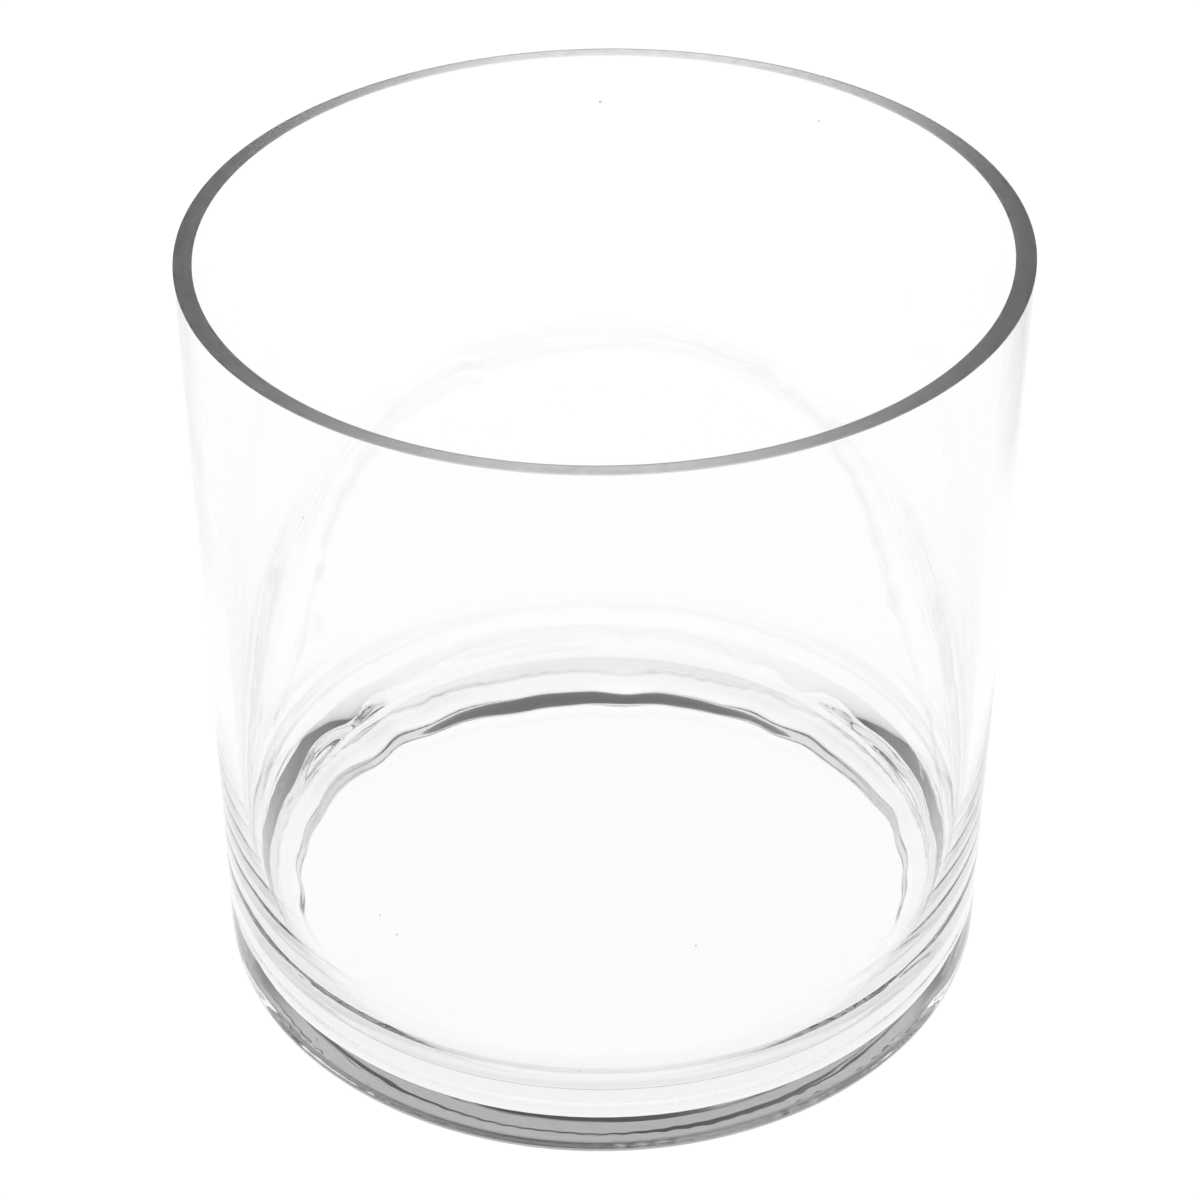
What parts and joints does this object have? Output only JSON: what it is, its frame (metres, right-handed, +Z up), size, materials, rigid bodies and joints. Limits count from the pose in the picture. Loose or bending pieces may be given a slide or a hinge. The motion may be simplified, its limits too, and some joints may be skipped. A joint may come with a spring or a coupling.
{
  "type": "crystallizing dish",
  "caption": "Straight-walled round clear glass vessel, as tall as it is wide, open at the top, its wall thickening down into the base, with a flat ground rim.",
  "frame": {"origin": "centre of the resting plane, on the dish's axis", "axes": "+Z up along the dish's axis, out of its mouth; X and Y are equivalent, as the dish is round"},
  "size_m": [0.2, 0.2, 0.2],
  "materials": {
    "clear_glass": "clear blown soda-lime glass, fire-polished; the rim is ground flat and satin"
  },
  "bodies": {
    "root": {"dish_body": "clear_glass"}
  },
  "joints": []
}
